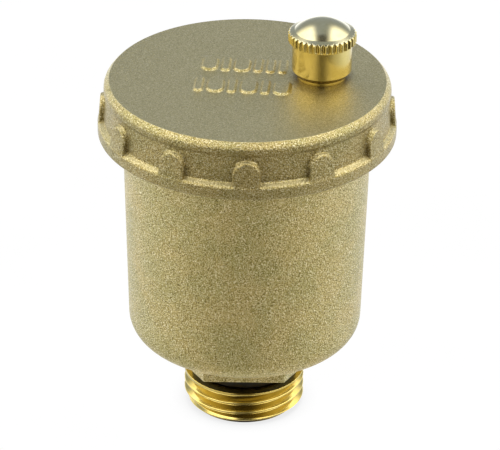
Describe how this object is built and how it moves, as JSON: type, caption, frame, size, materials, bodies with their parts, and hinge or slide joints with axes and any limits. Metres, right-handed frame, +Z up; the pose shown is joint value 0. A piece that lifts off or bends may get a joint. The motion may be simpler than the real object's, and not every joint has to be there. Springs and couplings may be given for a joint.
{
  "type": "automatic air vent",
  "caption": "Float-operated automatic air vent for heating pipework: round brass pot, screwed lugged cover, knurled vent cap and male pipe-thread inlet.",
  "frame": {"origin": "centre of the inlet thread's end face, on the pot's axis", "axes": "+Z up the pot's axis, +X from that axis towards the vent cap"},
  "size_m": [0.0506, 0.0506, 0.0732],
  "materials": {
    "cast_brass": "blasted forging, matt",
    "turned_brass": "turned, bright",
    "stainless_steel": "rolled strip and wire",
    "seal_rubber": "matt",
    "white_acetal": "moulded",
    "float_plastic": "moulded"
  },
  "bodies": {
    "pot": {"body": "cast_brass", "thread_o_ring": "seal_rubber"},
    "cover_slide": {"cover_o_ring": "seal_rubber"},
    "lid": {"cover": "cast_brass", "vent_jet": "turned_brass", "jet_o_ring": "seal_rubber", "jet_lock_nut": "turned_brass", "lever_bracket": "stainless_steel", "lever_pin": "stainless_steel", "lever_pin_clip": "stainless_steel", "valve_spring": "stainless_steel"},
    "cap_slide": {"cap_seal": "seal_rubber"},
    "cap": {"vent_cap": "turned_brass"},
    "lever": {"float_lever": "white_acetal"},
    "plunger": {"valve_plunger": "white_acetal", "valve_pad": "seal_rubber"},
    "float": {"float_shell": "float_plastic", "float_lid": "float_plastic", "float_pin": "stainless_steel", "float_pin_clip": "stainless_steel"}
  },
  "joints": [
    {"name": "cover_lift", "type": "slide", "parent": "pot", "child": "cover_slide", "axis": [0, 0, 1], "range_m": [0, 0.00525]},
    {"name": "cover_turn", "type": "hinge", "parent": "cover_slide", "child": "lid", "pos_m": [0, 0, 0.0575], "axis": [0, 0, 1], "range_deg": [0, 1262]},
    {"name": "cap_lift", "type": "slide", "parent": "lid", "child": "cap_slide", "axis": [0, 0, 1], "range_m": [0, 0.0045]},
    {"name": "cap_turn", "type": "hinge", "parent": "cap_slide", "child": "cap", "pos_m": [0.0125, 0, 0.066], "axis": [0, 0, 1], "range_deg": [0, 2162]},
    {"name": "lever_tilt", "type": "hinge", "parent": "lid", "child": "lever", "pos_m": [0.0148, 0, 0.0462], "axis": [0, 1, 0], "range_deg": [0, 18]},
    {"name": "float_hang", "type": "hinge", "parent": "lever", "child": "float", "pos_m": [0, 0, 0.04386], "axis": [0, 1, 0], "range_deg": [-18.1, 0]},
    {"name": "valve_lift", "type": "slide", "parent": "lid", "child": "plunger", "axis": [0, 0, 1], "range_m": [0, 0.00073], "deforming": ["valve_spring"]}
  ],
  "couplings": [
    {"joint": "cover_turn", "follows": "cover_lift", "rad_per_m": 4188.8},
    {"joint": "cap_turn", "follows": "cap_lift", "rad_per_m": 8377.6},
    {"joint": "float_hang", "follows": "lever_tilt", "ratio": -1},
    {"joint": "valve_lift", "follows": "lever_tilt", "m_per_rad": 0.0023191}
  ]
}
